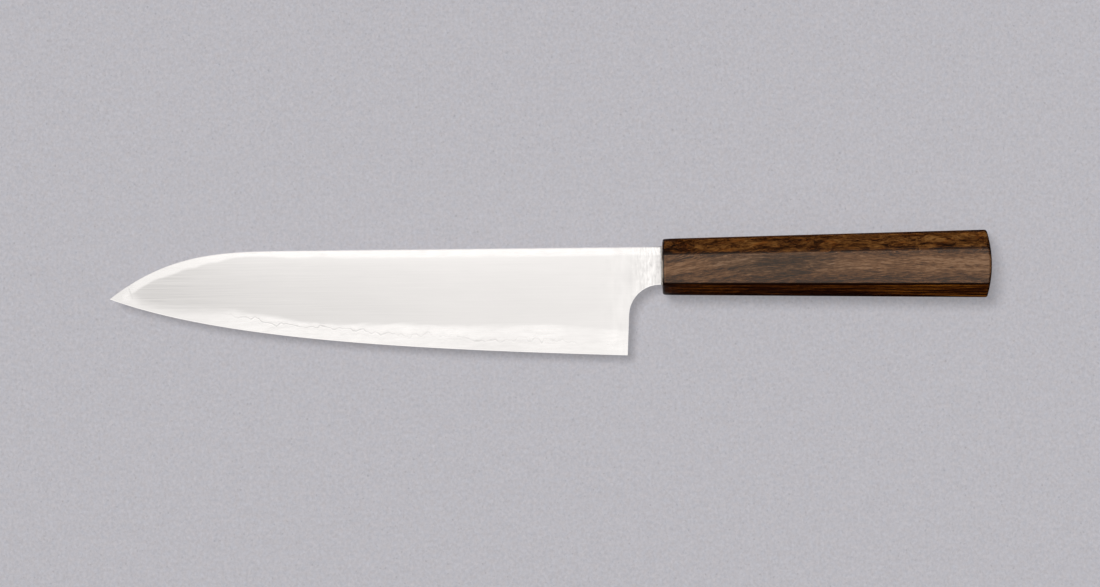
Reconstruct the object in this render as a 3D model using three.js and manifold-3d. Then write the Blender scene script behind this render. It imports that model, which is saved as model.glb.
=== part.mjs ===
// Gyuto kitchen knife: a three-layer forged blade whose tang is bonded into an octagonal wooden handle.
// Millimetres. x = 0 is the handle's front face, with the point toward -x and the butt toward +x.
// +y is the spine side, -y the edge side, and z runs through the blade's thickness.
import * as THREE from "three";
import { mergeVertices } from "three/addons/utils/BufferGeometryUtils.js";
import Module from "manifold-3d";

// Blade outline, measured from the handle's front face and the handle's axis
const POINT_REACH = 223.2;
const POINT_DROP = 10.7;
const HEEL_REACH = 14.5;
const HEEL_DROP = 35.6;
const SPINE_RISE = 8.1;
const SPINE_STRAIGHT = 150;
const NECK_DROP = 7.1;

// Curves of the outline: how far each end of a curve runs along its tangent, and that tangent's slope
const EDGE_FLAT_PULL = 80;
const EDGE_FLAT_SLOPE = 0.0395;
const EDGE_BELLY_PULL = 46.5;
const EDGE_BELLY_SLOPE = 0.378;
const SPINE_START_PULL = 27;
const SPINE_POINT_PULL = 24.5;
const SPINE_POINT_SLOPE = 0.77;
const CHOIL_RADIUS = 12.5;
const HEEL_LEAN = THREE.MathUtils.degToRad(2.7);

// Blade thickness: flat cheeks that thin toward point and edge, over a convex bevel and a fine edge
const SPINE_THICK_HANDLE = 2.4;
const SPINE_THICK_POINT = 1.2;
const CHEEK_LEAN = 0.018;
const BEVEL_AT_HEEL = 13;
const BEVEL_AT_POINT = 7;
const BEVEL_CONVEXITY = 0.5;
const EDGE_THICK = 0.12;
const EDGE_BEVEL = 0.6;
const SHOULDER_HEIGHT = 2.2;
const SHOULDER_CUT = 0.12;
const SPINE_EASE = 0.35;
const SLIVER = 6;

// Layers: how much core shows above the edge, its forged waviness, and the core's share of the spine
const CORE_SHOWING = 4.9;
const CORE_AT_POINT = 3;
const CORE_POINT_FADE = 12;
const CORE_SPINE_SHARE = 0.36;
const LONG_WAVE = 41;
const LONG_WAVE_HEIGHT = 0.4;
const MIDDLE_WAVE = 13.7;
const MIDDLE_WAVE_HEIGHT = 0.35;
const SHORT_WAVE = 5.3;
const SHORT_WAVE_HEIGHT = 0.35;

// Tang and machi, the step where the neck narrows into the tang just ahead of the handle
const MACHI_GAP = 0.45;
const MACHI_EASE = 0.25;
const MACHI_STEP = 1.5;
const TANG_END_HEIGHT = 6;
const TANG_END_THICK = 2;

// Handle: a tapered octagon with a domed butt and a blind slot
const HANDLE_LENGTH = 132.2;
const FRONT_HEIGHT = 22;
const FRONT_THICK = 19;
const FRONT_CHAMFER = 5.4;
const BUTT_HEIGHT = 26.5;
const BUTT_THICK = 23;
const BUTT_CHAMFER = 6.4;
const BUTT_DOME = 45;
const CORNER_EASE = 0.4;
const FRONT_ROUND = 0.8;
const FRONT_SOFTEN = 0.12;
const FRONT_SOFTEN_LENGTH = 4;
const BUTT_ROUND = 0.7;
const BUTT_WOOD = 32;

// Adhesive bed round the tang, with a bead that fills the corner at the machi
const SLOT_CLEARANCE = 0.5;
const SLOT_END_ROOM = 3;
const BOND_LINE = 0.08;
const BEAD_REACH = 1.1;
const BEAD_LIP = 0.2;
const BEAD_PROUD = 0.3;
const BEAD_SIDE = 0.65;

// Steps along the blade's regions
const POINT_STEPS = 4;
const BLADE_STEPS = 190;
const CHOIL_STEPS = 10;
const TANG_STEPS = 4;
const BEVEL_STEPS = 3;
const EASE_STEPS = 2;
const ROUND_STEPS = 3;
const FACET_STEPS = 4;
const DOME_STEPS = 5;

const SLOT_DEPTH = HANDLE_LENGTH - BUTT_WOOD;
const TANG_LENGTH = SLOT_DEPTH - SLOT_END_ROOM;

const { lerp, clamp } = THREE.MathUtils;
const flat = (x, y) => new THREE.Vector2(x, y);
const wasm = await Module();
wasm.setup();

// Merges shared corners and drops the triangles that this leaves without area.
function sealed(geometry) {
  const bare = geometry.clone();
  bare.deleteAttribute("normal");
  bare.deleteAttribute("uv");
  const merged = mergeVertices(bare, 1e-4);
  const corners = merged.index.array;
  const kept = [];
  for (let i = 0; i < corners.length; i += 3) {
    const [a, b, c] = corners.slice(i, i + 3);
    if (a !== b && b !== c && c !== a) kept.push(a, b, c);
  }
  merged.setIndex(kept);
  return merged;
}

function toSolid(geometry) {
  const closed = sealed(geometry);
  const vertProperties = closed.attributes.position.array;
  const triVerts = new Uint32Array(closed.index.array);
  return new wasm.Manifold(new wasm.Mesh({ numProp: 3, vertProperties, triVerts }));
}

function toGeometry(solid) {
  const { vertProperties, triVerts } = solid.getMesh();
  const geometry = new THREE.BufferGeometry();
  geometry.setAttribute("position", new THREE.BufferAttribute(vertProperties, 3));
  geometry.setIndex(new THREE.BufferAttribute(triVerts, 1));
  return geometry;
}

// Skins rings that run toward +x, each counter-clockwise seen from +x, and closes both ends.
// Each four-sided patch is split along its shorter diagonal, so that two layers sharing a face match.
function loft(rings) {
  const count = rings[0].length;
  const points = rings.flat();
  const triangles = [];
  for (let i = 0; i + 1 < rings.length; i++) {
    for (let j = 0; j < count; j++) {
      const a = i * count + j;
      const b = i * count + ((j + 1) % count);
      const c = b + count;
      const d = a + count;
      if (points[a].distanceTo(points[c]) < points[b].distanceTo(points[d])) triangles.push(a, b, c, a, c, d);
      else triangles.push(a, b, d, b, c, d);
    }
  }
  const last = (rings.length - 1) * count;
  for (let j = 1; j + 1 < count; j++) {
    triangles.push(0, j + 1, j);
    triangles.push(last, last + j, last + j + 1);
  }
  const geometry = new THREE.BufferGeometry().setFromPoints(points);
  geometry.setIndex(triangles);
  return sealed(geometry);
}

// Outline curves, all running toward +x
const point = flat(-POINT_REACH, -POINT_DROP);
const heel = flat(-HEEL_REACH, -HEEL_DROP);
const spineBreak = flat(-SPINE_STRAIGHT, SPINE_RISE);
const edgeCurve = new THREE.CubicBezierCurve(
  point,
  flat(point.x + EDGE_BELLY_PULL, point.y - EDGE_BELLY_PULL * EDGE_BELLY_SLOPE),
  flat(heel.x - EDGE_FLAT_PULL, heel.y + EDGE_FLAT_PULL * EDGE_FLAT_SLOPE),
  heel,
);
const spineCurve = new THREE.CubicBezierCurve(
  point,
  flat(point.x + SPINE_POINT_PULL, point.y + SPINE_POINT_PULL * SPINE_POINT_SLOPE),
  flat(spineBreak.x - SPINE_START_PULL, spineBreak.y),
  spineBreak,
);

// Halves the range where a rising function crosses zero.
function crossing(low, high, rising) {
  for (let i = 0; i < 50; i++) {
    const middle = (low + high) / 2;
    if (rising(middle) < 0) low = middle;
    else high = middle;
  }
  return (low + high) / 2;
}

const heightOn = (curve, x) => curve.getPoint(crossing(0, 1, (t) => curve.getPoint(t).x - x)).y;
const spineAt = (x) => (x < spineBreak.x ? heightOn(spineCurve, x) : SPINE_RISE);
const edgeAt = (x) => (x < heel.x ? heightOn(edgeCurve, x) : heel.y - EDGE_FLAT_SLOPE * (x - heel.x));
const riseOf = (p) => p.y - edgeAt(p.x);

// Height above the edge where the cladding ends, wavy from forging and climbing to the spine at the point.
function coreTop(x) {
  const along = Math.min(x, heel.x) - point.x;
  const wave = (length, height) => height * Math.sin((2 * Math.PI * along) / length);
  const forged = wave(LONG_WAVE, LONG_WAVE_HEIGHT)
    + wave(MIDDLE_WAVE, MIDDLE_WAVE_HEIGHT)
    + wave(SHORT_WAVE, SHORT_WAVE_HEIGHT);
  return CORE_SHOWING + forged + CORE_AT_POINT * Math.exp(-along / CORE_POINT_FADE);
}

function bevelTop(x) {
  const share = clamp((x - point.x) / (heel.x - point.x), 0, 1);
  return lerp(BEVEL_AT_POINT, BEVEL_AT_HEEL, share);
}

// Half the thickness of the flat cheek, which leans in toward the edge and thins toward point and tang end.
function cheekHalf(p) {
  const forward = (SPINE_THICK_HANDLE - SPINE_THICK_POINT) / 2 / POINT_REACH;
  const backward = (SPINE_THICK_HANDLE - TANG_END_THICK) / 2 / TANG_LENGTH;
  const taper = p.x < 0 ? forward * p.x : -backward * p.x;
  return SPINE_THICK_HANDLE / 2 + taper - CHEEK_LEAN * (SPINE_RISE - p.y);
}

// Half the blade's thickness with the convex bevel below the cheek.
function outerHalf(p) {
  const rise = riseOf(p);
  const top = bevelTop(p.x);
  if (rise >= top) return cheekHalf(p);
  const share = rise / top;
  const shoulder = cheekHalf(flat(p.x, p.y + top - rise));
  return EDGE_THICK / 2 + (shoulder - EDGE_THICK / 2) * share * (1 + BEVEL_CONVEXITY * (1 - share));
}

// A station is a straight cut across the blade from its lower outline to its upper one.
// at() finds the place on it at a height above the edge, held between the two ends.
function station(lower, upper) {
  const lowRise = riseOf(lower);
  const highRise = riseOf(upper);
  const at = (rise) => {
    const share = (rise - lowRise) / (highRise - lowRise);
    if (share < 1e-6 || highRise === lowRise) return lower.clone();
    return share > 1 - 1e-6 ? upper.clone() : lower.clone().lerp(upper, share);
  };
  const core = coreTop(lower.x);
  const coreAtLine = outerHalf(flat(lower.x, edgeAt(lower.x) + core));
  const coreAtSpine = CORE_SPINE_SHARE * outerHalf(upper);
  const coreHalf = (p) => {
    const rise = riseOf(p);
    if (rise <= core + 1e-6) return outerHalf(p);
    return lerp(coreAtLine, coreAtSpine, (rise - core) / (highRise - core));
  };
  return { lower, upper, lowRise, highRise, at, core, coreHalf };
}

// The edge side from the point back to the heel, cut straight across
const claddingStart = crossing(point.x + 1, spineBreak.x, (x) => spineAt(x) - edgeAt(x) - coreTop(x));
const across = (x) => station(flat(x, edgeAt(x)), flat(x, spineAt(x)));
const stations = [];
for (let i = 0; i <= POINT_STEPS; i++) stations.push(across(lerp(point.x, claddingStart, i / POINT_STEPS)));
for (let i = 1; i <= BLADE_STEPS; i++) stations.push(across(lerp(claddingStart, heel.x, i / BLADE_STEPS)));

// Behind the heel the lower outline climbs the heel's back and the choil's arc to the neck
const backward = flat(Math.sin(HEEL_LEAN), Math.cos(HEEL_LEAN));
const choilY = -NECK_DROP - CHOIL_RADIUS;
const choilX = heel.x + (CHOIL_RADIUS + (choilY - heel.y) * backward.x) / backward.y;
const choilArc = new THREE.EllipseCurve(
  choilX, choilY, CHOIL_RADIUS, CHOIL_RADIUS, Math.PI - HEEL_LEAN, Math.PI / 2, true,
);
const heelCore = coreTop(heel.x);
const heelRises = [EDGE_BEVEL, heelCore / 2, heelCore];
for (let i = 1; i <= BEVEL_STEPS; i++) heelRises.push(lerp(heelCore, BEVEL_AT_HEEL, i / BEVEL_STEPS));
const arcStart = choilArc.getPoint(0);
const risePerStep = backward.y + EDGE_FLAT_SLOPE * backward.x;
const heelBack = heelRises
  .filter((rise) => rise < riseOf(arcStart) - 0.2)
  .map((rise) => heel.clone().addScaledVector(backward, rise / risePerStep));
const machiX = -MACHI_GAP - MACHI_EASE;
// No cut leans back further than the outline it starts on, so that none leaves the blade.
const leanX = heel.x + (SPINE_RISE - heel.y) * Math.tan(HEEL_LEAN);
heelBack.forEach((lower, i) => {
  const x = lerp(heel.x, leanX, (i + 1) / (heelBack.length + 1));
  stations.push(station(lower, flat(x, SPINE_RISE)));
});
choilArc.getPoints(CHOIL_STEPS).forEach((lower, i) => {
  const x = lerp(leanX, Math.min(choilX, machiX), i / CHOIL_STEPS);
  stations.push(station(lower, flat(x, SPINE_RISE)));
});

// Neck, machi step and tapering tang
const tangShare = (x) => (x + MACHI_GAP) / (TANG_LENGTH + MACHI_GAP);
const tangTop = (x) => lerp(SPINE_RISE - MACHI_STEP, TANG_END_HEIGHT / 2, tangShare(x));
const tangBottom = (x) => lerp(MACHI_STEP - NECK_DROP, -TANG_END_HEIGHT / 2, tangShare(x));
if (choilX < machiX - 0.1) stations.push(station(flat(machiX, -NECK_DROP), flat(machiX, SPINE_RISE)));
for (let i = 0; i <= TANG_STEPS; i++) {
  const x = lerp(-MACHI_GAP, TANG_LENGTH, i / TANG_STEPS);
  stations.push(station(flat(x, tangBottom(x)), flat(x, tangTop(x))));
}

const raised = (p, z) => new THREE.Vector3(p.x, p.y, z);
const mirrored = (points) => points.map((p) => new THREE.Vector3(p.x, p.y, -p.z)).reverse();

// One side of the core's section from spine to edge; the mirrored side closes the ring.
function coreRing(cut) {
  const fine = Math.min(EDGE_BEVEL, 0.3 * cut.core, 0.3 * (cut.highRise - cut.lowRise) + cut.lowRise);
  const side = [raised(cut.upper, cut.coreHalf(cut.upper))];
  for (const rise of [cut.core, (cut.core + fine) / 2, fine]) {
    const p = cut.at(rise);
    side.push(raised(p, cut.coreHalf(p)));
  }
  const bottom = cut.lowRise > 1e-6 ? cut.coreHalf(cut.lower) : 0;
  side.push(raised(cut.lower, bottom));
  return [...mirrored(side), ...side];
}

// Section of the front cladding: along the core, over the eased spine, and down the cheek and bevel.
// Where it runs out to a sliver at the point, the spine's shoulder and easing shrink with it.
function claddingRing(cut) {
  const room = cut.highRise - Math.max(cut.core, cut.lowRise);
  const full = Math.min(1, room / SLIVER);
  const line = cut.at(cut.core);
  const ring = [raised(line, cut.coreHalf(line)), raised(cut.upper, cut.coreHalf(cut.upper))];
  const top = outerHalf(cut.upper) - SHOULDER_CUT * full;
  const ease = Math.min(SPINE_EASE * full, (top - ring[1].z) / 2);
  for (let i = 0; i <= EASE_STEPS; i++) {
    const angle = (i / EASE_STEPS) * (Math.PI / 2);
    const p = cut.at(cut.highRise - ease * (1 - Math.cos(angle)));
    ring.push(raised(p, top - ease * (1 - Math.sin(angle))));
  }
  const shoulder = cut.at(cut.highRise - SHOULDER_HEIGHT * full);
  ring.push(raised(shoulder, outerHalf(shoulder)));
  const lowest = lerp(cut.core, cut.highRise, 0.1);
  const highest = lerp(cut.core, cut.highRise, 0.6);
  const bevel = clamp(bevelTop(cut.lower.x), lowest, highest);
  for (let i = BEVEL_STEPS; i >= 1; i--) {
    const p = cut.at(lerp(cut.core, bevel, i / BEVEL_STEPS));
    ring.push(raised(p, outerHalf(p)));
  }
  ring.push(raised(line, outerHalf(line)));
  return ring;
}

const claddingStations = stations.slice(POINT_STEPS);

// Rectangular ring for the tang's surroundings, counter-clockwise seen from +x
function boxRing(x, bottom, top, half) {
  return [
    new THREE.Vector3(x, bottom, -half),
    new THREE.Vector3(x, top, -half),
    new THREE.Vector3(x, top, half),
    new THREE.Vector3(x, bottom, half),
  ];
}

const neckRing = (x, tall, wide) =>
  boxRing(x, -NECK_DROP - tall, SPINE_RISE + tall, SPINE_THICK_HANDLE / 2 + wide);
function tangRing(x, grow, place = x) {
  const half = cheekHalf(flat(x, SPINE_RISE)) + grow;
  return boxRing(place, tangBottom(x) - grow, tangTop(x) + grow, half);
}

// Points round the handle's octagon at a distance along it, with eased corners, drawn in by `inset`.
function octagon(x, inset) {
  const share = x / HANDLE_LENGTH;
  const tall = lerp(FRONT_HEIGHT, BUTT_HEIGHT, share) / 2;
  const thick = lerp(FRONT_THICK, BUTT_THICK, share) / 2;
  const chamfer = lerp(FRONT_CHAMFER, BUTT_CHAMFER, share);
  const corners = [];
  for (const [up, out] of [[1, 1], [-1, 1], [-1, -1], [1, -1]]) {
    const pair = [flat(up * tall, out * (thick - chamfer)), flat(up * (tall - chamfer), out * thick)];
    corners.push(...(up === out ? pair : pair.reverse()));
  }
  const shrink = 1 - inset / tall;
  return corners.flatMap((corner, i) => {
    const next = corners[(i + 1) % corners.length];
    const ease = next.clone().sub(corner).setLength(CORNER_EASE);
    const start = corner.clone().add(ease);
    const end = next.clone().sub(ease);
    const steps = Array.from({ length: FACET_STEPS + 1 }, (_, step) => step / FACET_STEPS);
    return steps.map((along) => start.clone().lerp(end, along).multiplyScalar(shrink));
  });
}

const standing = (x, p) => new THREE.Vector3(x, p.x, p.y);
const domeAt = (p) => HANDLE_LENGTH - BUTT_DOME + Math.sqrt(Math.max(0, BUTT_DOME ** 2 - p.lengthSq()));

function handleGeometry() {
  const rings = [];
  // The flats are softened toward the front and end in a rounded edge.
  for (let i = 0; i <= ROUND_STEPS; i++) {
    const angle = (i / ROUND_STEPS) * (Math.PI / 2);
    const x = FRONT_ROUND * (1 - Math.cos(angle));
    const softened = FRONT_SOFTEN * (1 - x / FRONT_SOFTEN_LENGTH);
    const inset = softened + FRONT_ROUND * (1 - Math.sin(angle));
    rings.push(octagon(x, inset).map((p) => standing(x, p)));
  }
  rings.push(octagon(FRONT_SOFTEN_LENGTH, 0).map((p) => standing(FRONT_SOFTEN_LENGTH, p)));
  // Each flat runs back to the dome's rounded rim, so the butt's outline is curved along every flat.
  const rimX = octagon(HANDLE_LENGTH, 0).map(domeAt);
  for (let i = 0; i <= ROUND_STEPS; i++) {
    const angle = (i / ROUND_STEPS) * (Math.PI / 2);
    const inset = BUTT_ROUND * (1 - Math.cos(angle));
    const drop = BUTT_ROUND * (1 - Math.sin(angle));
    rings.push(rimX.map((rim, j) => {
      const p = octagon(rim - BUTT_ROUND, inset)[j];
      return standing(domeAt(p) - drop, p);
    }));
  }
  const rim = octagon(HANDLE_LENGTH - BUTT_ROUND, BUTT_ROUND);
  for (let i = 1; i <= DOME_STEPS; i++) {
    const scaled = rim.map((p) => p.clone().multiplyScalar(1 - i / DOME_STEPS));
    rings.push(scaled.map((p) => standing(domeAt(p), p)));
  }
  const slot = loft([
    tangRing(0, SLOT_CLEARANCE, -1),
    tangRing(0, SLOT_CLEARANCE),
    tangRing(TANG_LENGTH, SLOT_CLEARANCE),
    tangRing(TANG_LENGTH, SLOT_CLEARANCE, SLOT_DEPTH),
  ]);
  return toGeometry(toSolid(loft(rings)).subtract(toSolid(slot)));
}

// Cured body that fills the slot round the tang and ends in a filleted bead on the neck
function adhesiveGeometry() {
  const bed = SLOT_CLEARANCE - BOND_LINE;
  const outer = loft([
    neckRing(-BEAD_REACH, BEAD_LIP, BEAD_LIP),
    neckRing(-BEAD_REACH / 2, lerp(BEAD_LIP, BEAD_PROUD, 0.4), lerp(BEAD_LIP, BEAD_SIDE, 0.35)),
    neckRing(-BOND_LINE, BEAD_PROUD, BEAD_SIDE),
    tangRing(0, bed, -BOND_LINE),
    tangRing(0, bed),
    tangRing(TANG_LENGTH, bed),
    tangRing(TANG_LENGTH, bed, SLOT_DEPTH - BOND_LINE),
  ]);
  const hole = loft([
    neckRing(-BEAD_REACH - 1, BOND_LINE, BOND_LINE),
    neckRing(machiX + BOND_LINE, BOND_LINE, BOND_LINE),
    tangRing(-MACHI_GAP, BOND_LINE, -MACHI_GAP + BOND_LINE),
    tangRing(TANG_LENGTH, BOND_LINE),
    tangRing(TANG_LENGTH, BOND_LINE, TANG_LENGTH + BOND_LINE),
  ]);
  return toGeometry(toSolid(outer).subtract(toSolid(hole)));
}

const coreSteel = new THREE.MeshStandardMaterial({ color: 0xe6e4e2, roughness: 0.3, metalness: 1 });
const claddingSteel = new THREE.MeshStandardMaterial({ color: 0xd9d7d4, roughness: 0.38, metalness: 1 });
const figuredWood = new THREE.MeshStandardMaterial({ color: 0x4f341d, roughness: 0.42, metalness: 0 });
const adhesive = new THREE.MeshStandardMaterial({ color: 0x8f8c88, roughness: 0.6, metalness: 0 });

const knife = new THREE.Group();
function piece(name, geometry, material) {
  const mesh = new THREE.Mesh(geometry, material);
  mesh.name = name;
  material.flatShading = true;
  knife.add(mesh);
}

piece("blade_core", loft(stations.map(coreRing)), coreSteel);
piece("front_cladding", loft(claddingStations.map(claddingRing)), claddingSteel);
piece("back_cladding", loft(claddingStations.map((cut) => mirrored(claddingRing(cut)))), claddingSteel);
piece("tang_adhesive", adhesiveGeometry(), adhesive);
piece("handle", handleGeometry(), figuredWood);

// The knife lies on its side: the origin is at the bottom centre of its box.
const box = new THREE.Box3().setFromObject(knife);
const middle = box.getCenter(new THREE.Vector3());
knife.position.set(-middle.x, -middle.y, -box.min.z);

export default knife;
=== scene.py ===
import math

import bmesh
import bpy
import numpy as np
from mathutils import Matrix, Vector


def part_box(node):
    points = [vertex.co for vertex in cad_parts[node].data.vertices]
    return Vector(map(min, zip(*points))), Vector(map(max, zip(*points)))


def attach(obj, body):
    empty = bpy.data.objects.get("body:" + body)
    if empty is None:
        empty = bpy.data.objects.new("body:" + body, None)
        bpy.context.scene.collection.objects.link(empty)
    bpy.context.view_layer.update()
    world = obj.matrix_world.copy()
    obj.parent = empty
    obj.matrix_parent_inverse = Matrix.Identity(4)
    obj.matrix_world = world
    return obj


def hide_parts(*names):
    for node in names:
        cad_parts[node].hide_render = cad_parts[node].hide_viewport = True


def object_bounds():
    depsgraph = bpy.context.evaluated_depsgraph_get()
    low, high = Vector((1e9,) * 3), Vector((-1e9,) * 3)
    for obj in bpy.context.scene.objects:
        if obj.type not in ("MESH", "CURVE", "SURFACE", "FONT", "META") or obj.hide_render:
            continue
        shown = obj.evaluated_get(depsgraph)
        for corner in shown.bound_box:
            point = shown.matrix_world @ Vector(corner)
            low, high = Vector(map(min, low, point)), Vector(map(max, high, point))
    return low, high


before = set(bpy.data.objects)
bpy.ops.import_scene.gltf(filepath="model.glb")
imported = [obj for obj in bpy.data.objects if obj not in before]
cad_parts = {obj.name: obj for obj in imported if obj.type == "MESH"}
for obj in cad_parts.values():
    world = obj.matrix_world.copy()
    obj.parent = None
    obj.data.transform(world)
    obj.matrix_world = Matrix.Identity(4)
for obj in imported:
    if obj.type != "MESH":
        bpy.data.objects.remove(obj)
cad_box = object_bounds()

# Blade core. The hard steel layer of a three-layer blade: the whole cutting edge, and the middle of the
# spine and the tang. It is forge-welded between the two softer layers, then ground convex with them and
# honed, so its finish is bright and finely streaked below the wavy line where the cladding ends.
MM = 0.001
MERGE_REACH = 1e-6
SLIVER_HEIGHT = 3e-5
STATION_DIGITS = 6
STATION_REACH = 2e-6
ON_WELD_LINE = 0.002
CORE_CREASE = 4


def forged(name, node):
    """A piece with the frame's own shape: a copy of a node's mesh with its loose triangles merged."""
    bpy.ops.object.select_all(action="DESELECT")
    piece = bpy.data.objects.new(name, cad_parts[node].data.copy())
    bpy.context.collection.objects.link(piece)
    bpy.context.view_layer.objects.active = piece
    piece.select_set(True)
    bpy.ops.object.mode_set(mode="EDIT")
    bpy.ops.mesh.select_all(action="SELECT")
    bpy.ops.mesh.remove_doubles(threshold=MERGE_REACH)
    bpy.ops.mesh.dissolve_degenerate(threshold=SLIVER_HEIGHT)
    if piece.data.has_custom_normals:
        bpy.ops.mesh.customdata_custom_splitnormals_clear()
    bpy.ops.mesh.normals_make_consistent(inside=False)
    bpy.ops.object.mode_set(mode="OBJECT")
    return piece


def dress(piece, material):
    """Gives a piece its one material."""
    piece.data.materials.clear()
    piece.data.materials.append(material)


def places(thing):
    """The vertices of an object's mesh as rows of x, y and z."""
    return np.array([vertex.co for vertex in thing.data.vertices])


def outline(points, end, pick):
    """The lowest or highest y of a blade layer at each of its stations, from the point back to the heel."""
    ahead = points[points[:, 0] <= end + MERGE_REACH]
    stations = np.unique(ahead[:, 0].round(STATION_DIGITS))
    return stations, np.array([pick(ahead[np.abs(ahead[:, 0] - x) < STATION_REACH, 1]) for x in stations])


core_points = places(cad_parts["blade_core"])
heel = core_points[core_points[:, 1].argmin()]
point = core_points[core_points[:, 0].argmin()]
edge_line = outline(core_points, heel[0], np.min)
spine_line = outline(core_points, heel[0], np.max)
weld_line = outline(places(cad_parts["front_cladding"]), heel[0], np.min)


def mark_heights(piece):
    """Stores how far each vertex lies above the edge, below the spine and above the weld line, in mm."""
    x, y, _ = places(piece).T
    heights = {
        "edge_rise": y - np.interp(x, *edge_line),
        "spine_drop": np.interp(x, *spine_line) - y,
        "weld_rise": y - np.interp(x, *weld_line),
    }
    for name, values in heights.items():
        attribute = piece.data.attributes.new(name, "FLOAT", "POINT")
        attribute.data.foreach_set("value", values / MM)


def shade_ground(piece, angle):
    """Smooth shading in which the large ground faces stay flat and the weld line and arrises stay crisp."""
    rise = np.array([v.value for v in piece.data.attributes["weld_rise"].data])
    bpy.ops.object.mode_set(mode="EDIT")
    bpy.ops.mesh.select_mode(type="EDGE")
    bpy.ops.mesh.select_all(action="DESELECT")
    mesh = bmesh.from_edit_mesh(piece.data)
    for edge in mesh.edges:
        edge.select_set(all(abs(rise[v.index]) < ON_WELD_LINE for v in edge.verts))
    bmesh.update_edit_mesh(piece.data)
    bpy.ops.mesh.mark_sharp()
    bpy.ops.object.mode_set(mode="OBJECT")
    bpy.ops.object.shade_smooth_by_angle(angle=math.radians(angle), keep_sharp_edges=True)
    piece.modifiers.new("flat_faces", "WEIGHTED_NORMAL").keep_sharp = True
    bpy.ops.object.modifier_apply(modifier="flat_faces")


class Finish:
    """A material being made, with a short method for each kind of node that the finishes use."""

    def __init__(self, name):
        self.material = bpy.data.materials.new(name)
        self.material.use_nodes = True
        self.tree = self.material.node_tree
        self.shader = self.tree.nodes["Principled BSDF"]
        where = self.node("TexCoord", out="Object")
        self.place = self.node("VectorMath", {0: where, "Scale": 1 / MM}, operation="SCALE")
        axes = self.tree.nodes.new("ShaderNodeSeparateXYZ")
        self.tree.links.new(self.place, axes.inputs[0])
        self.x, self.y, self.z = axes.outputs

    def node(self, kind, inputs=None, out=0, **settings):
        """One new node with its inputs linked or set, given as one of its outputs."""
        node = self.tree.nodes.new("ShaderNode" + kind)
        for key, value in settings.items():
            setattr(node, key, value)
        for key, value in (inputs or {}).items():
            if isinstance(value, bpy.types.NodeSocket):
                self.tree.links.new(value, node.inputs[key])
            else:
                node.inputs[key].default_value = value
        return node.outputs[out]

    def stored(self, name):
        """A value that the mesh stores at its vertices."""
        return self.node("Attribute", out="Fac", attribute_name=name)

    def maths(self, operation, a, b=0.0):
        return self.node("Math", {0: a, 1: b}, operation=operation)

    def add(self, *terms):
        total = terms[0]
        for term in terms[1:]:
            total = self.maths("ADD", total, term)
        return total

    def times(self, *terms):
        total = terms[0]
        for term in terms[1:]:
            total = self.maths("MULTIPLY", total, term)
        return total

    def ease(self, value, low, high, start=0.0, end=1.0):
        """Eases from start to end as the value goes from low to high."""
        sockets = {"Value": value, "From Min": low, "From Max": high, "To Min": start, "To Max": end}
        return self.node("MapRange", sockets, interpolation_type="SMOOTHSTEP")

    def fade(self, value, low, high, start=1.0):
        """Eases from start to nought as the value goes from low to high."""
        return self.ease(value, low, high, start, 0.0)

    def line(self, value, core, rim, strength=1.0):
        """A soft line where the value is near nought: full within the core, gone beyond the rim."""
        return self.fade(self.maths("ABSOLUTE", value), core, rim, strength)

    def curve(self, value, *knots):
        """Goes straight from knot to knot, each a place and the value there."""
        total = knots[0][1]
        for (low, start), (high, end) in zip(knots, knots[1:]):
            sockets = {"Value": value, "From Min": low, "From Max": high, "To Max": end - start}
            total = self.maths("ADD", self.node("MapRange", sockets), total)
        return total

    def grain(self, size, shift=(0, 0, 0), place=None, detail=2.0, roughness=0.5, bend=0.0):
        """Noise between about -0.5 and 0.5, with marks of that size in mm along x, y and z."""
        mapping = {"Vector": place or self.place, "Location": shift, "Scale": [1 / s for s in size]}
        noise = {"Vector": self.node("Mapping", mapping), "Scale": 1.0}
        noise |= {"Detail": detail, "Roughness": roughness, "Distortion": bend}
        return self.maths("SUBTRACT", self.node("TexNoise", noise), 0.5)

    def varied(self, value, **shares):
        """The value with marks of this finish added, each named and at its share."""
        for marks, share in shares.items():
            value = self.add(value, self.times(getattr(self, marks), share))
        return value

    def distance(self, x, y, centre):
        """How far the place with that x and y lies from a centre."""
        place = self.node("CombineXYZ", {0: x, 1: y})
        return self.node("VectorMath", {0: place, 1: (*centre, 0)}, out=1, operation="DISTANCE")

    def mix(self, share, a, b):
        """Goes from colour a to colour b as the share goes from 0 to 1."""
        pick = {"Factor": share, 6: a, 7: b}
        return self.node("Mix", pick, out=2, data_type="RGBA", clamp_factor=True)

    def blend(self, share, a, b):
        """Goes from value a to value b as the share goes from 0 to 1."""
        return self.node("Mix", {"Factor": share, 2: a, 3: b}, data_type="FLOAT", clamp_factor=True)

    def tint(self, tone, tint):
        """A tone or colour with each channel at its own share."""
        return self.node("VectorMath", {0: tone, 1: tint}, operation="MULTIPLY")

    def bump(self, height, strength, depth):
        """Raises the surface by up to that depth in mm."""
        sockets = {"Height": height, "Strength": strength, "Distance": depth * MM}
        self.tree.links.new(self.node("Bump", sockets), self.shader.inputs["Normal"])

    def done(self, **sockets):
        """The material, with the shader's named sockets linked or set."""
        for name, value in sockets.items():
            socket = self.shader.inputs[name.replace("_", " ")]
            if isinstance(value, bpy.types.NodeSocket):
                self.tree.links.new(value, socket)
            else:
                socket.default_value = value
        return self.material


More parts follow.
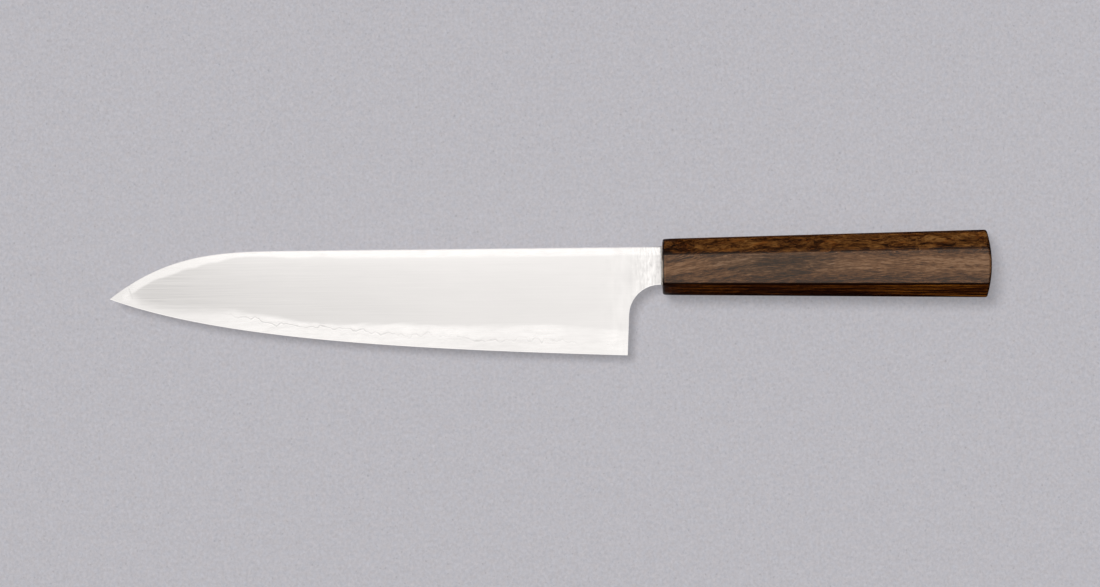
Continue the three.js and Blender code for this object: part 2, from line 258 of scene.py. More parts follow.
# Each pair holds a place in mm and the value there. A row without pairs says where a change starts and
# ends, in mm, and then the value that it fades from. Places run back from the point or out from a line.
# Painted shade: the cheek's tone darkens toward the point.
CHEEK_TONES = (
    (0, 0.605), (17, 0.62), (37, 0.685), (57, 0.72),
    (97, 0.755), (137, 0.785), (196, 0.805), (205, 0.835),
)
CHEEK_BRUSHING = (10, 0.42), (35, 0.24), (60, 0.13), (150, 0.06)
# Painted sheen: the cheek is paler just under the spine strip.
CHEEK_BELOW_SPINE = (3, 0.085), (6, 0.045), (10, 0.02), (15, 0), (24, -0.025)
CHEEK_PALER = (30, 0.5), (60, 1), (150, 0.9), (198, 0.4)
# The spine, bevel and tip bands are polished, and their lighter tone is painted reflection.
SPINE_STRIP = 2.5, 3.9
SPINE_INSET = (
    (9, -1), (13, -0.7), (18, 0), (24, -0.6), (36, -0.3), (44, 0.2),
    (52, 1.3), (66, 1.1), (74, 0.2), (86, 0.5), (97, 0),
)
SPINE_GLEAM = (20, -0.05), (30, -0.03), (45, 0.02), (60, 0.05)
BEVEL_TOP = -1.3, 0.9
BEVEL_HEIGHTS = (
    (8, 6.3), (13, 3.4), (18, 3.4), (28, 3.9), (35, 5), (43, 6.3), (50, 7.8), (57, 7.6),
    (68, 7), (77, 6.3), (117, 8.9), (158, 10.2), (178, 12), (198, 10.5),
)
BEVEL_CRISPNESS = (20, 0.36), (45, 0.4), (60, 0.75), (80, 1)
BEVEL_SHINE = (
    (40, 0.7), (60, 1), (140, 1), (158, 0.75), (176, 0.95),
    (186, 0.65), (196, 0.5), (201, 0.9), (208, 0.8),
)
TIP_END = 4.5, 9
TIP_LEAN = -0.35
TIP_GLEAM = -0.05
# Painted shade along a crease across the point, and a painted highlight on a facet ahead of it.
CREASE_PLACE = 9.5
CREASE_LEAN = 0.33
CREASE_LINE = 0.1, 0.5, -0.09
CREASE_FOOT = 0, 1
CREASE_TOP = 4.2, 5.2
FACET_CENTRE = 6.8, 1.1
FACET_RIM = 0.7, 2.4, 0.07
POLISH_SHEEN_TONE = 0.885
POLISH_BLOTS = (40, 0.5), (70, 1)
HONED_TONES = (120, 0.85), (155, 0.78), (185, 0.87)
HONED_START = (32, 0), (58, 1)
HONED_RIM = -0.3, 0.2
HONED_SHARE = 0.5
WELD_WAVES = (60, 2.6), (110, 3.2), (125, 4.4)
WELD_TICKS = 0.7
WELD_SHOWN = (44, 0), (58, 1), (110, 1), (140, 0.9), (178, 0.75), (196, 0)
WELD_BREAKS = (90, 0.8), (110, 0.2)
WELD_DARKNESS = (60, -0.2), (110, -0.14)
WELD_LINE = 0.08, 0.42
ECHO_LINE = 0.04, 0.3
ECHO_OFFSETS = (0.85, 0.4), (1.7, 0.25), (-0.75, 0.3)
GLINT_OFFSET = 0.65
GLINT_LINE = 0.1, 0.5, 0.05
CHOIL_RADIUS = 12.5
CHOIL_CENTRE = 44.6, -8.402
# Painted highlight: the edge, heel and choil arrises are lighter.
ARRIS_RIM = 0.25, 0.6, 0.8
ARRIS_TONE = 0.985
NECK_START = 197, 208
NECK_TONE = -0.004
NECK_COLUMNS = 0.28
RUBBED_START = 209, 217
RUBBED_STREAKS = 0.7
RUBBED_MOTTLE = 0.2
CHEEK_ROUGHNESS = 0.33
POLISH_ROUGHNESS = 0.27
SPINE_FACE_ROUGHNESS = 0.02, 0.15, 0.3
BRUSH_BUMP = 0.12
BRUSH_DEPTH = 0.03
STEEL_TINT = (1.0, 0.968, 0.944)


class GroundSteel(Finish):
    """Ground steel: a satin cheek darkened toward the point by painted shade, and a brighter spine, bevel,
    neck and edge, the spine and bevel polished and lit by painted reflection, the edge by a painted
    highlight.
    """

    def __init__(self, name):
        super().__init__(name)
        self.along = self.maths("SUBTRACT", self.x, point[0] / MM)
        self.edge_rise = self.stored("edge_rise")
        self.weld_rise = self.stored("weld_rise")
        self.spine_drop = self.stored("spine_drop")
        self.lines = self.grain((42, 0.42, 0.6), detail=4, roughness=0.62)
        self.hairs = self.grain((14, 0.14, 0.3), (7, 3, 1), detail=3, roughness=0.6)
        self.brush = self.varied(0.0, lines=0.9, hairs=0.6)
        self.clouds = self.grain((26, 7, 9), (3, 8, 2), detail=3, bend=0.6)
        self.mottle = self.grain((5, 1.6, 3), (1, 4, 9), detail=3, roughness=0.6)
        self.wisps = self.grain((9, 1.5, 3), (6, 2, 5), detail=4, roughness=0.6, bend=0.5)

    def run(self, knots):
        """A value that goes from knot to knot along the blade."""
        return self.curve(self.along, *knots)

    def cheek(self):
        """The tone of the satin cheek: more brushed toward the point and darker there by painted shade,
        paler under the spine by painted sheen.
        """
        tone = self.varied(self.run(CHEEK_TONES), brush=self.run(CHEEK_BRUSHING), clouds=0.05)
        paler = self.times(self.curve(self.spine_drop, *CHEEK_BELOW_SPINE), self.run(CHEEK_PALER))
        return self.add(tone, paler)

    def spine(self):
        """How far a place belongs to the bright strip under the spine: polished, its brightness partly
        painted reflection.
        """
        drop = self.varied(self.spine_drop, mottle=1.2, clouds=1.6)
        return self.fade(self.add(drop, self.run(SPINE_INSET)), *SPINE_STRIP)

    def bevel(self):
        """How far a place belongs to the bright bevel above the edge: polished, its brightness partly
        painted reflection.
        """
        rise = self.maths("SUBTRACT", self.edge_rise, self.run(BEVEL_HEIGHTS))
        rise = self.times(self.varied(rise, clouds=2.5, wisps=3.5), self.run(BEVEL_CRISPNESS))
        return self.times(self.fade(rise, *BEVEL_TOP), self.run(BEVEL_SHINE))

    def tip(self):
        """How far a place belongs to the bright end at the point: polished, its brightness partly painted
        reflection.
        """
        place = self.add(self.along, self.times(self.y, TIP_LEAN))
        return self.fade(self.varied(place, brush=9, mottle=4), *TIP_END)

    def tip_facets(self):
        """Painted shade as a dark line along the crease across the point, and a painted highlight on the
        facet ahead of it.
        """
        crease = self.add(self.along, self.times(self.y, CREASE_LEAN), -CREASE_PLACE)
        crease = self.line(crease, *CREASE_LINE)
        crease = self.times(crease, self.fade(self.y, *CREASE_TOP), self.ease(self.y, *CREASE_FOOT))
        return self.add(crease, self.fade(self.distance(self.along, self.y, FACET_CENTRE), *FACET_RIM))

    def polished(self, spine, tip):
        """The tone of the bright parts, polished and partly painted reflection, blotted less toward the
        point.
        """
        blots = self.run(POLISH_BLOTS)
        tone = self.add(POLISH_SHEEN_TONE, self.times(spine, self.run(SPINE_GLEAM)), self.times(tip, TIP_GLEAM))
        tone = self.add(tone, self.tip_facets())
        return self.varied(tone, brush=0.06, wisps=self.times(blots, 0.18), mottle=self.times(blots, 0.14))

    def honed(self, tone):
        """The tone with the streaked core below the weld line, which starts some way behind the point."""
        streaked = self.varied(self.run(HONED_TONES), brush=0.1, wisps=0.15, mottle=0.12)
        below = self.times(self.fade(self.weld_rise, *HONED_RIM), self.run(HONED_START))
        return self.blend(below, tone, self.blend(HONED_SHARE, tone, streaked))

    def welded(self, tone):
        """The tone with the wavy dark weld line, its fainter echoes and the glint beside it."""
        zigzag = self.grain((2.7, 5, 3), (5, 1, 1), detail=1)
        ticks = self.grain((1.3, 3, 3), (2, 6, 4), detail=2)
        breaks = self.grain((9, 4, 4), (2, 7, 3), detail=2)
        wander = self.add(self.weld_rise, self.times(zigzag, self.run(WELD_WAVES)))
        wander = self.add(wander, self.times(ticks, WELD_TICKS))
        shown = self.times(self.run(WELD_SHOWN), self.ease(breaks, -0.15, 0.12, self.run(WELD_BREAKS), 1))
        weld = self.line(wander, *WELD_LINE)
        for offset, strength in ECHO_OFFSETS:
            echo = self.varied(self.add(wander, offset), mottle=0.8)
            weld = self.maths("MAXIMUM", weld, self.line(echo, *ECHO_LINE, strength))
        glint = self.line(self.add(wander, GLINT_OFFSET), *GLINT_LINE)
        return self.add(tone, self.times(weld, shown, self.run(WELD_DARKNESS)), self.times(glint, shown))

    def arrised(self, tone):
        """The tone with a painted highlight along the arrises of the edge, the heel and the choil."""
        arc = self.maths("SUBTRACT", self.distance(self.x, self.y, CHOIL_CENTRE), CHOIL_RADIUS)
        straight = self.maths("SUBTRACT", CHOIL_CENTRE[0] - CHOIL_RADIUS, self.x)
        back = self.blend(self.maths("GREATER_THAN", self.y, CHOIL_CENTRE[1]), straight, arc)
        rim = self.maths("MINIMUM", self.edge_rise, back)
        return self.blend(self.fade(rim, *ARRIS_RIM), tone, ARRIS_TONE)

    def rubbed(self, tone):
        """The tone with the neck's upright streaks, rubbed in where the handle was fitted."""
        start = self.varied(self.along, mottle=9)
        neck = self.ease(self.varied(start, clouds=8), *NECK_START)
        rubbed = self.ease(start, *RUBBED_START)
        columns = self.grain((4, 16, 4), (3, 5, 4), detail=2)
        streaks = self.grain((0.9, 4.5, 3), (9, 2, 4), detail=3, roughness=0.6, bend=0.6)
        tone = self.add(tone, self.times(neck, NECK_TONE), self.times(columns, neck, NECK_COLUMNS))
        tone = self.add(tone, self.times(streaks, rubbed, RUBBED_STREAKS))
        return self.varied(tone, mottle=self.times(rubbed, RUBBED_MOTTLE))

    def ground(self):
        """The finished material."""
        spine = self.spine()
        tip = self.tip()
        # Painted reflection: the polished bands get a lighter colour as well as a smoother finish.
        bright = self.maths("MAXIMUM", self.maths("MAXIMUM", spine, self.bevel()), tip)
        tone = self.blend(bright, self.cheek(), self.polished(spine, tip))
        tone = self.rubbed(self.arrised(self.welded(self.honed(tone))))
        roughness = self.varied(self.blend(bright, CHEEK_ROUGHNESS, POLISH_ROUGHNESS), brush=0.08)
        roughness = self.add(roughness, self.fade(self.spine_drop, *SPINE_FACE_ROUGHNESS))
        self.bump(self.brush, BRUSH_BUMP, BRUSH_DEPTH)
        return self.done(Base_Color=self.tint(tone, STEEL_TINT), Roughness=roughness, Metallic=1.0)


core = forged("hard_core", "blade_core")
mark_heights(core)
shade_ground(core, CORE_CREASE)
dress(core, GroundSteel("core_steel_ground").ground())
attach(core, "root")
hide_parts("blade_core")

# Claddings. Two layers of softer steel, one on each side of the core. They are forge-welded to it and
# ground down with it, so each ends in a wavy feather edge a few millimetres above the cutting edge.
CLADDING_CREASE = 12
for name, node in (("cladding_front", "front_cladding"), ("cladding_back", "back_cladding")):
    cladding = forged(name, node)
    mark_heights(cladding)
    shade_ground(cladding, CLADDING_CREASE)
    dress(cladding, GroundSteel(name + "_ground").ground())
    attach(cladding, "root")
    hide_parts(node)

# Adhesive. Filled epoxy poured into the slot before the tang is pushed home. It beds the tang on all
# sides, and what is squeezed out stands as a dull uneven bead round the neck at the handle's front face.
handle_low, handle_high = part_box("handle")
FRONT_X = handle_low.x
LIP_MARGIN = 0.01 * MM
LIP_CUTS = 14
LIP_SHARE = 0.55
LIP_WAVE = 0.5 * MM
WAVE_SIZE = 1.3 * MM
ADHESIVE_CREASE = 40
EPOXY_TONE = 0.46
EPOXY_TINT = (1.0, 0.95, 0.88)
EPOXY_ROUGHNESS = 0.7
LUMP_BUMP = 0.6
LUMP_DEPTH = 0.2
# The bead is darker along its outer lip, farthest from the wood.
DARK_LIP_PLACE = 0.42, 0.62
DARK_LIP_SHARE = 0.85
DARK_LIP_TONE = 0.03


def squeeze_out(piece):
    """Sets the bead's lip back toward the wood and makes it uneven."""
    bpy.ops.object.mode_set(mode="EDIT")
    bpy.ops.mesh.select_mode(type="FACE")
    bpy.ops.mesh.select_all(action="SELECT")
    bpy.ops.mesh.tris_convert_to_quads()
    bpy.ops.mesh.select_all(action="DESELECT")
    mesh = bmesh.from_edit_mesh(piece.data)
    for face in mesh.faces:
        face.select_set(max(v.co.x for v in face.verts) < FRONT_X + LIP_MARGIN)
    bmesh.update_edit_mesh(piece.data)
    bpy.ops.mesh.subdivide(number_cuts=LIP_CUTS)
    bpy.ops.mesh.select_mode(type="VERT")
    bpy.ops.transform.resize(value=(LIP_SHARE, 1, 1), center_override=(FRONT_X, 0, 0))
    bpy.ops.object.mode_set(mode="OBJECT")
    lip = piece.vertex_groups.new(name="lip")
    for vertex in piece.data.vertices:
        lip.add([vertex.index], max(0.0, min(1.0, (FRONT_X - vertex.co.x) / MM)), "REPLACE")
    waves = bpy.data.textures.new("squeezed_out", "CLOUDS")
    waves.noise_scale = WAVE_SIZE
    uneven = piece.modifiers.new("uneven", "DISPLACE")
    uneven.texture = waves
    uneven.texture_coords = "LOCAL"
    uneven.direction = "X"
    uneven.strength = LIP_WAVE
    uneven.vertex_group = "lip"
    bpy.ops.object.modifier_apply(modifier="uneven")
    bpy.ops.object.shade_smooth_by_angle(angle=math.radians(ADHESIVE_CREASE))


def cured_epoxy():
    """Dull grey filler, lumpy and speckled, darker where the bead stands farthest from the wood."""
    epoxy = Finish("cured_epoxy")
    epoxy.lumps = epoxy.grain((0.9, 0.9, 0.9), detail=3, roughness=0.6)
    epoxy.specks = epoxy.grain((0.3, 0.3, 0.3), (4, 2, 8), detail=2)
    ahead = epoxy.maths("SUBTRACT", FRONT_X / MM, epoxy.x)
    dark_lip = epoxy.ease(epoxy.varied(ahead, lumps=0.8), *DARK_LIP_PLACE, 0, DARK_LIP_SHARE)
    tone = epoxy.blend(dark_lip, epoxy.varied(EPOXY_TONE, lumps=0.35, specks=0.3), DARK_LIP_TONE)
    epoxy.bump(epoxy.lumps, LUMP_BUMP, LUMP_DEPTH)
    return epoxy.done(Base_Color=epoxy.tint(tone, EPOXY_TINT), Roughness=EPOXY_ROUGHNESS)


adhesive = forged("adhesive_bead", "tang_adhesive")
squeeze_out(adhesive)
dress(adhesive, cured_epoxy())
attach(adhesive, "root")
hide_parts("tang_adhesive")

# Handle. One piece of dark figured hardwood, sawn square, planed to an octagon that grows toward the
# butt, slotted from the front for the tang, then domed, eased at every arris, oiled and polished.
DOME_RADIUS = 45 * MM
DOME_LENGTH = 5 * MM
DOME_EASE = 0.5
HANDLE_CREASE = 30
FLAT_HALF = 5.6
FLAT_GROWTH = 0.0095
SIDE_HALF = 11
SIDE_GROWTH = 0.017
axis_y = (handle_low.y + handle_high.y) / 2
axis_z = (handle_low.z + handle_high.z) / 2

# Each row says where a change starts and ends, in mm, and then the values before and after it. Places run
# back from the front face or out from an arris or line. Shares are those beside and on the upper chamfer.
ARRIS_BLUR = 0.1
SWAY_UP_SIDE = 4.5, 7.5, 0.22, 1
GRAIN_CLIMB = (0, 0), (36, -6.5), (75, -8), (132, -8)
BAND_SHARE = 0.8
STREAK_SHARES = 1.1, 0.9
FIBRE_SHARES = 1.9, 1.3
FLAMES_BACK = 60, 110, 1.5, 1.9
BOLDER_BACK = 70, 110, 0.2, 0.45
STRANDS_BACK = 70, 110, 2.2, 4
PLAIN_SHARE = 0.45
FRONT_BAND = 0.6, 3, 0.42
FRONT_BAND_CLIMB = -0.122
FRONT_BAND_DROP = 0.5
FRONT_BAND_END = 30, 48
BUTT_BAND = 1.8, 4.8, 0.36
BUTT_BAND_HEIGHT = 1
BUTT_BAND_START = 52, 74
KNOT_CENTRE = 47, 1.5
KNOT_SIZE = 29, 6.5
KNOT_RIM = 0.55, 1.15
KNOT_TONE = -0.11
RING_COUNT = 15
RING_TONE = 0.07
FLAT_TONE = -0.1
UPPER_TONES = 70, 110, -0.05, -0.07
# Painted shade: the lower chamfer is darker toward the front.
LOWER_TONES = 72, 112, -0.28, 0.03
MIDDLE_TONE = 0.5
# Painted shade in dark lines along the flat's arrises and down the chamfers, and at the front rim, with a
# painted highlight line just behind the front.
ARRIS_SHADE_PLACE = 0.32
ARRIS_SHADE_LINE = 0.2, 0.48, -0.18
UPPER_FROM_ARRIS = 0.4, 3.5, -0.07, 0.06
UPPER_FRONT = 2, 16, -0.26
LOWER_AT_ARRIS = 0.4, 1.1, -0.55
LOWER_FROM_ARRIS = 2.6, 4.4, 0.03, -0.19
FRONT_RIM_PLACE = 0.6
FRONT_RIM = 0.2, 0.4, -0.6
FRONT_LIGHT_PLACE = 1.2
FRONT_LIGHT = 0.15, 0.4, 0.16
WOOD_COLOURS = (
    (0.02, (0.005, 0.0012, 0.0002)),
    (0.3, (0.034, 0.0112, 0.0032)),
    (0.52, (0.081, 0.033, 0.012)),
    (0.76, (0.142, 0.066, 0.028)),
    (0.98, (0.21, 0.112, 0.058)),
)
PORES_SHOWN = 0.1, 0.26, 0, 0.5
PORE_COLOUR = (0.008, 0.0025, 0.0006, 1)
KNOT_TINT = (0.9, 1.0, 1.15)
# The chamfer tint is partly the chamfers' own wood and partly painted shade; the lower tint is painted
# shade.
CHAMFER_TINT = (1.0, 0.87, 0.47)
LOWER_TINT = (1.08, 0.8, 0.2)
EMBERS_SHOWN = 0.02, 0.25, 0, 0.8
EMBER_TINT = (1.3, 1.0, 0.6)
# Painted light: the strips beyond the outer arrises and the dome rim are paler.
BRIM_START = -0.3, -0.05
BRIM_TINT = (1.6, 1.4, 0.9)
DOME_START = 131.3, 131.6
DOME_DEPTH = 7, 10.5
DOME_INSIDE_ARRIS = -0.6, 0
DOME_TINT = (4, 3.7, 2.8)
SMEAR_END = 0.3, 0.5
SMEAR_INSIDE_ARRIS = -2.5, -1.5
SMEAR_DEPTH = 8.5, 8.9
SMEAR_COLOUR = (0.3, 0.265, 0.23, 1)
PORE_BUMP = 0.15
PORE_DEPTH = 0.05
OIL_ROUGHNESS = 0.22
OIL_SHEEN = (1, 0.9, 0.78, 1)


class OiledWood(Finish):
    """Oiled wood: grey-brown with a swaying grain on the flat, warm above, dark and straight below, the
    lower chamfer also darkened as painted shade.
    """

    def __init__(self, name):
        super().__init__(name)
        self.back = self.maths("SUBTRACT", self.x, FRONT_X / MM)
        self.side = self.maths("SUBTRACT", self.y, axis_y / MM)
        self.depth = self.maths("ABSOLUTE", self.add(self.z, -axis_z / MM))
        self.reach = self.beyond_arris(FLAT_HALF, FLAT_GROWTH)
        self.chamfer = self.ease(self.reach, -ARRIS_BLUR, ARRIS_BLUR)
        self.upper = self.times(self.chamfer, self.ease(self.side, -1, 1))
        self.lower = self.times(self.chamfer, self.fade(self.side, -1, 1))
        self.sway = self.grain((34, 15, 15), (1, 6, 2), detail=2)
        self.curl = self.grain((11, 6, 6), (4, 2, 7), detail=1)
        self.figure = self.swayed()
        self.streaks = self.grain((14, 0.95, 0.95), (3, 1, 5), place=self.figure, detail=3, roughness=0.6)
        self.pores = self.grain((1.8, 0.25, 0.25), (8, 2, 1), place=self.figure, detail=1)
        self.rings = self.knot_rings()
        self.knot = self.times(self.fade(self.rings, *KNOT_RIM), self.blend(self.chamfer, 1, 0))

    def beyond_arris(self, half, growth):
        """How far outside an arris a place lies. The arris starts at that half height and grows backward."""
        return self.add(self.maths("ABSOLUTE", self.side), self.times(self.back, -growth), -half)

    def swayed(self):
        """Places pushed aside, so that the grain sways and curls, and climbs across the flat."""
        bend = self.varied(0.0, sway=12, curl=7)
        bend = self.times(bend, self.ease(self.side, *SWAY_UP_SIDE))
        climb = self.curve(self.back, *GRAIN_CLIMB)
        shift = {0: self.times(bend, 0.5), 1: self.add(bend, climb), 2: self.times(bend, 0.8)}
        return self.node("VectorMath", {0: self.place, 1: self.node("CombineXYZ", shift)}, operation="ADD")

    def knot_rings(self):
        """How far out from the knot a place lies, in knot sizes, swaying with the grain."""
        along = self.times(self.add(self.back, -KNOT_CENTRE[0]), 1 / KNOT_SIZE[0])
        across = self.times(self.add(self.side, -KNOT_CENTRE[1]), 1 / KNOT_SIZE[1])
        return self.varied(self.distance(along, across, (0, 0)), sway=0.9, curl=0.4)

    def grown(self):
        """The grain's tone: bands, streaks and fibres, with flames above and straight strands below."""
        bands = self.grain((60, 3, 3), place=self.figure, detail=3, roughness=0.55)
        fibres = self.grain((3.2, 0.36, 0.36), (6, 3, 2), place=self.figure, detail=3, roughness=0.65)
        flames = self.grain((13, 4, 4), (7, 5, 2), place=self.figure, detail=3, bend=1.0)
        strands = self.grain((36, 0.9, 0.9), (2, 5, 7), detail=3, roughness=0.6)
        tone = self.times(bands, BAND_SHARE)
        tone = self.add(tone, self.times(self.streaks, self.blend(self.upper, *STREAK_SHARES)))
        tone = self.add(tone, self.times(fibres, self.blend(self.upper, *FIBRE_SHARES)))
        flames = self.times(flames, self.upper, self.ease(self.back, *FLAMES_BACK))
        bolder = self.times(tone, self.chamfer, self.ease(self.back, *BOLDER_BACK))
        tone = self.add(tone, flames, bolder)
        strands = self.times(strands, self.ease(self.back, *STRANDS_BACK))
        return self.blend(self.lower, tone, self.add(self.times(tone, PLAIN_SHARE), strands))

    def laid(self):
        """How light the wood lies: two light bands and a dark knot on the flat, and each chamfer's own tone,
        the lower one darkened toward the front as painted shade.
        """
        front = self.add(self.side, self.times(self.back, FRONT_BAND_CLIMB), FRONT_BAND_DROP)
        front = self.line(self.varied(front, sway=4), *FRONT_BAND)
        front = self.times(front, self.fade(self.back, *FRONT_BAND_END))
        butt = self.line(self.varied(self.add(self.side, -BUTT_BAND_HEIGHT), sway=5), *BUTT_BAND)
        butt = self.times(butt, self.ease(self.back, *BUTT_BAND_START))
        rings = self.times(self.maths("SINE", self.times(self.rings, RING_COUNT)), RING_TONE)
        knot = self.times(self.knot, self.add(rings, KNOT_TONE))
        flat = self.add(self.maths("MAXIMUM", front, butt), FLAT_TONE, knot)
        lower = self.ease(self.back, *LOWER_TONES)
        upper = self.ease(self.back, *UPPER_TONES)
        return self.blend(self.chamfer, flat, self.blend(self.upper, lower, upper))

    def lined(self, tone):
        """The tone with each chamfer's painted shading, painted dark lines along the flat's arrises and at
        the front rim, and a painted highlight line on the flat just behind the front.
        """
        arris_shade = self.line(self.add(self.reach, -ARRIS_SHADE_PLACE), *ARRIS_SHADE_LINE)
        above = self.add(arris_shade, self.ease(self.reach, *UPPER_FROM_ARRIS))
        above = self.add(above, self.fade(self.back, *UPPER_FRONT))
        below = self.add(self.fade(self.reach, *LOWER_AT_ARRIS), self.ease(self.reach, *LOWER_FROM_ARRIS))
        tone = self.varied(tone, upper=above, lower=below)
        rim = self.line(self.add(self.back, -FRONT_RIM_PLACE), *FRONT_RIM)
        light = self.line(self.add(self.back, -FRONT_LIGHT_PLACE), *FRONT_LIGHT)
        return self.add(tone, rim, self.blend(self.chamfer, light, 0))

    def tinted(self, colour, share, tint):
        """The colour with a tint where the share is high."""
        return self.mix(share, colour, self.tint(colour, tint))

    def coloured(self, tone):
        """The colours of the tones, with dark pores, the tints of the knot and embers, a deeper tint on the
        chamfers, partly their own wood and partly painted shade, and a painted shade tint on the lower one.
        """
        ramp = self.tree.nodes.new("ShaderNodeValToRGB")
        for position, colour in WOOD_COLOURS:
            ramp.color_ramp.elements.new(position).color = (*colour, 1)
        ramp.color_ramp.elements.remove(ramp.color_ramp.elements[0])
        ramp.color_ramp.elements.remove(ramp.color_ramp.elements[-1])
        self.tree.links.new(tone, ramp.inputs[0])
        colour = self.mix(self.ease(self.pores, *PORES_SHOWN), ramp.outputs[0], PORE_COLOUR)
        colour = self.tinted(colour, self.knot, KNOT_TINT)
        colour = self.tinted(colour, self.chamfer, CHAMFER_TINT)
        colour = self.tinted(colour, self.lower, LOWER_TINT)
        embers = self.grain((7, 2.5, 2.5), (5, 9, 3), place=self.figure, detail=3)
        embers = self.times(self.ease(embers, *EMBERS_SHOWN), self.upper)
        return self.tinted(colour, embers, EMBER_TINT)

    def rimmed(self, colour):
        """The colour with painted light on the outer arrises and the dome rim, and adhesive smeared on the
        front face.
        """
        brim = self.ease(self.beyond_arris(SIDE_HALF, SIDE_GROWTH), *BRIM_START)
        colour = self.tinted(colour, brim, BRIM_TINT)
        dome = self.times(self.ease(self.back, *DOME_START), self.ease(self.depth, *DOME_DEPTH))
        dome = self.times(dome, self.fade(self.reach, *DOME_INSIDE_ARRIS))
        colour = self.tinted(colour, dome, DOME_TINT)
        smear = self.times(self.fade(self.back, *SMEAR_END), self.fade(self.reach, *SMEAR_INSIDE_ARRIS))
        smear = self.times(smear, self.ease(self.depth, *SMEAR_DEPTH))
        return self.mix(smear, colour, SMEAR_COLOUR)

    def oiled(self):
        """The finished material."""
        tone = self.lined(self.add(self.grown(), self.laid(), MIDDLE_TONE))
        colour = self.rimmed(self.coloured(tone))
        self.bump(self.varied(0.0, pores=-1, streaks=0.3), PORE_BUMP, PORE_DEPTH)
        return self.done(Base_Color=colour, Roughness=OIL_ROUGHNESS, Specular_Tint=OIL_SHEEN)


handle = forged("octagonal_handle", "handle")
for vertex in handle.data.vertices:
    if vertex.co.x > handle_high.x - DOME_LENGTH:
        vertex.co.x += DOME_EASE * (vertex.co.z - axis_z) ** 2 / (2 * DOME_RADIUS)
bpy.ops.object.shade_smooth_by_angle(angle=math.radians(HANDLE_CREASE))
handle.modifiers.new("flat_faces", "WEIGHTED_NORMAL")
bpy.ops.object.modifier_apply(modifier="flat_faces")
dress(handle, OiledWood("figured_wood_oiled").oiled())
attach(handle, "root")
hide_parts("handle")

# Setting. The knife lies on its side on a plain sheet of pale paper, under a soft lamp a little up and to
# the left and a wide pale ceiling, and is seen from nearly straight above.
UP = Vector((0.0401, 0.0924, 0.9949)).normalized()
AIM = Vector((0.00006, 0.00094, 0.01147))
DISTANCE = 3.0
LENS = 244.0
SENSOR_WIDTH = 36
TILT = math.radians(0.62)
PAPER_SIZE = 4
PAPER_COLOUR = (0.49, 0.479, 0.511)
PAPER_HUES = (0.04, 0, -0.04)
PAPER_GLOW = 0.56
PAPER_ROUGHNESS = 0.9
FLECKS_SHOWN = 0.22, 0.34, 0, -0.13
FIBRE_BUMP = 0.1
FIBRE_DEPTH = 0.05
FAR_OFF = 50, 120
BY_HANDLE = FRONT_X / MM - 4.5, FRONT_X / MM - 1
MIRRORED_NEAR = 0.8
MIRRORED_FAR = -0.99
LAMP_STRENGTH = 2.78
LAMP_SPREAD = math.radians(19)
LAMP_LEAN = 0.22
HORIZON_TONE = 0.01
SKY_TONES = (0.22, 0.03), (0.34, 0.25), (0.5, 0.5), (0.75, 0.93), (0.9, 1.1)
CEILING_TONE = 1.15
SKY_ON_MATT = 0.24
across = (Vector((1, 0, 0)) - UP * UP.x).normalized()
upward = UP.cross(across)
right = across * math.cos(TILT) - upward * math.sin(TILT)
above = across * math.sin(TILT) + upward * math.cos(TILT)
view = Matrix((right, above, UP)).transposed()

camera_data = bpy.data.cameras.new("camera")
camera_data.lens = LENS
camera_data.sensor_width = SENSOR_WIDTH
camera = bpy.data.objects.new("camera", camera_data)
camera.matrix_world = Matrix.Translation(AIM + UP * DISTANCE) @ view.to_4x4()
bpy.context.collection.objects.link(camera)
bpy.context.scene.camera = camera


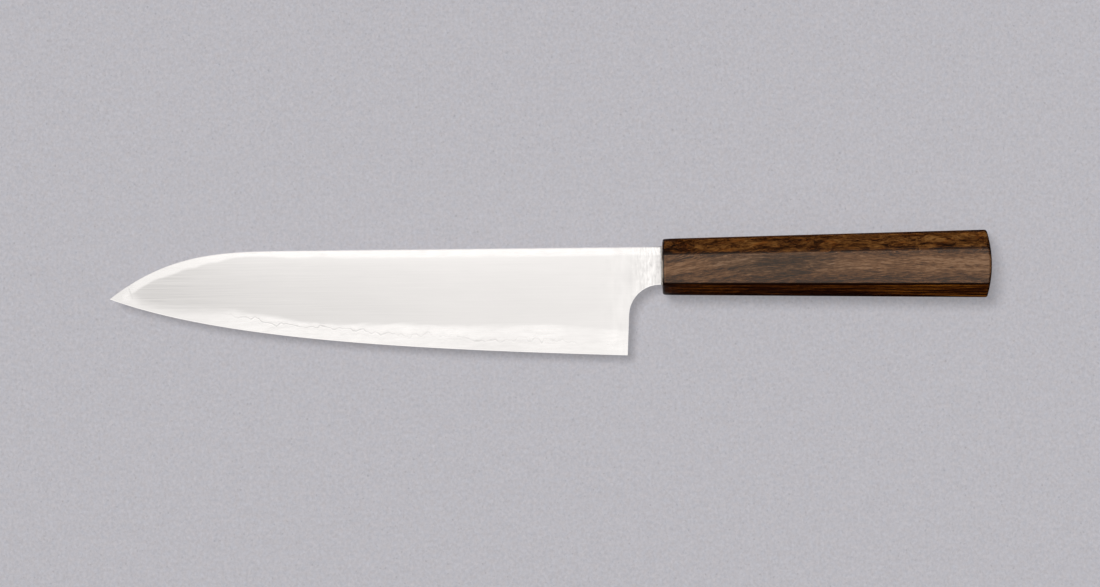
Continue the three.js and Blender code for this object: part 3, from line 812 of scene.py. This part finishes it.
def pale_paper():
    """Matt paper with fine fibres. Polished faces see it pale under the blade and dark elsewhere."""
    sheet = Finish("pale_paper")
    sheet.fibres = sheet.grain((1.2, 1.35, 1.2), detail=3, roughness=0.65, bend=0.5)
    sheet.blotches = sheet.grain((7, 7, 7), (3, 1, 2), detail=3)
    flecks = sheet.ease(sheet.grain((1.1, 1.3, 1.1), (2, 9, 5), detail=0), *FLECKS_SHOWN)
    hue = sheet.grain((2.2, 2.2, 2.2), (9, 4, 6), detail=3)
    far_off = sheet.ease(sheet.maths("ABSOLUTE", sheet.y), *FAR_OFF)
    by_handle = sheet.ease(sheet.x, *BY_HANDLE)
    mirrored = sheet.blend(sheet.maths("MAXIMUM", far_off, by_handle), MIRRORED_NEAR, MIRRORED_FAR)
    mirrored = sheet.times(sheet.node("LightPath", out="Is Glossy Ray"), mirrored)
    tone = sheet.add(sheet.varied(1.0, fibres=0.46, blotches=0.07), flecks, mirrored)
    sheet.bump(sheet.fibres, FIBRE_BUMP, FIBRE_DEPTH)
    hues = {0: sheet.tint(tone, PAPER_COLOUR), 1: sheet.tint(hue, PAPER_HUES)}
    colour = sheet.node("VectorMath", hues, operation="ADD")
    sheet.done(Base_Color=colour, Roughness=PAPER_ROUGHNESS, Specular_IOR_Level=0.0)
    glow = sheet.times(sheet.node("LightPath", out="Is Camera Ray"), PAPER_GLOW)
    shaders = {0: glow, 1: sheet.shader.outputs[0], 2: sheet.node("Emission", {"Color": colour})}
    lit = sheet.node("MixShader", shaders)
    sheet.tree.links.new(lit, sheet.tree.nodes["Material Output"].inputs["Surface"])
    return sheet.material


bpy.ops.mesh.primitive_plane_add(size=PAPER_SIZE, location=(0, 0, cad_box[0][2]))
paper = bpy.context.active_object
paper.name = "paper"
dress(paper, pale_paper())

lamp_data = bpy.data.lights.new("key", "SUN")
lamp_data.energy = LAMP_STRENGTH
lamp_data.angle = LAMP_SPREAD
lamp = bpy.data.objects.new("key", lamp_data)
lamp.visible_glossy = False
lean = UP - across * LAMP_LEAN + upward * LAMP_LEAN
lamp.rotation_euler = lean.to_track_quat("Z", "Y").to_euler()
bpy.context.collection.objects.link(lamp)

world = bpy.data.worlds.new("studio")
world.use_nodes = True
bpy.context.scene.world = world
tree = world.node_tree
heading = tree.nodes.new("ShaderNodeTexCoord").outputs["Generated"]
height = tree.nodes.new("ShaderNodeVectorMath")
height.operation = "DOT_PRODUCT"
height.inputs[1].default_value = UP
tree.links.new(heading, height.inputs[0])
sky = tree.nodes.new("ShaderNodeValToRGB")
for place, tone in SKY_TONES:
    sky.color_ramp.elements.new(place).color = (tone, tone, tone, 1)
sky.color_ramp.elements[0].color = (HORIZON_TONE, HORIZON_TONE, HORIZON_TONE, 1)
sky.color_ramp.elements[-1].color = (CEILING_TONE, CEILING_TONE, CEILING_TONE, 1)
tree.links.new(height.outputs["Value"], sky.inputs[0])
rays = tree.nodes.new("ShaderNodeLightPath").outputs
pick = tree.nodes.new("ShaderNodeMix")
pick.data_type = "RGBA"
tree.links.new(rays["Is Camera Ray"], pick.inputs[0])
tree.links.new(sky.outputs[0], pick.inputs[6])
pick.inputs[7].default_value = (*PAPER_COLOUR, 1)
tree.links.new(pick.outputs[2], tree.nodes["Background"].inputs["Color"])
level = tree.nodes.new("ShaderNodeMapRange")
level.inputs["To Min"].default_value = 1.0
level.inputs["To Max"].default_value = SKY_ON_MATT
tree.links.new(rays["Is Diffuse Ray"], level.inputs["Value"])
tree.links.new(level.outputs[0], tree.nodes["Background"].inputs["Strength"])

bpy.context.scene.view_settings.view_transform = "Standard"
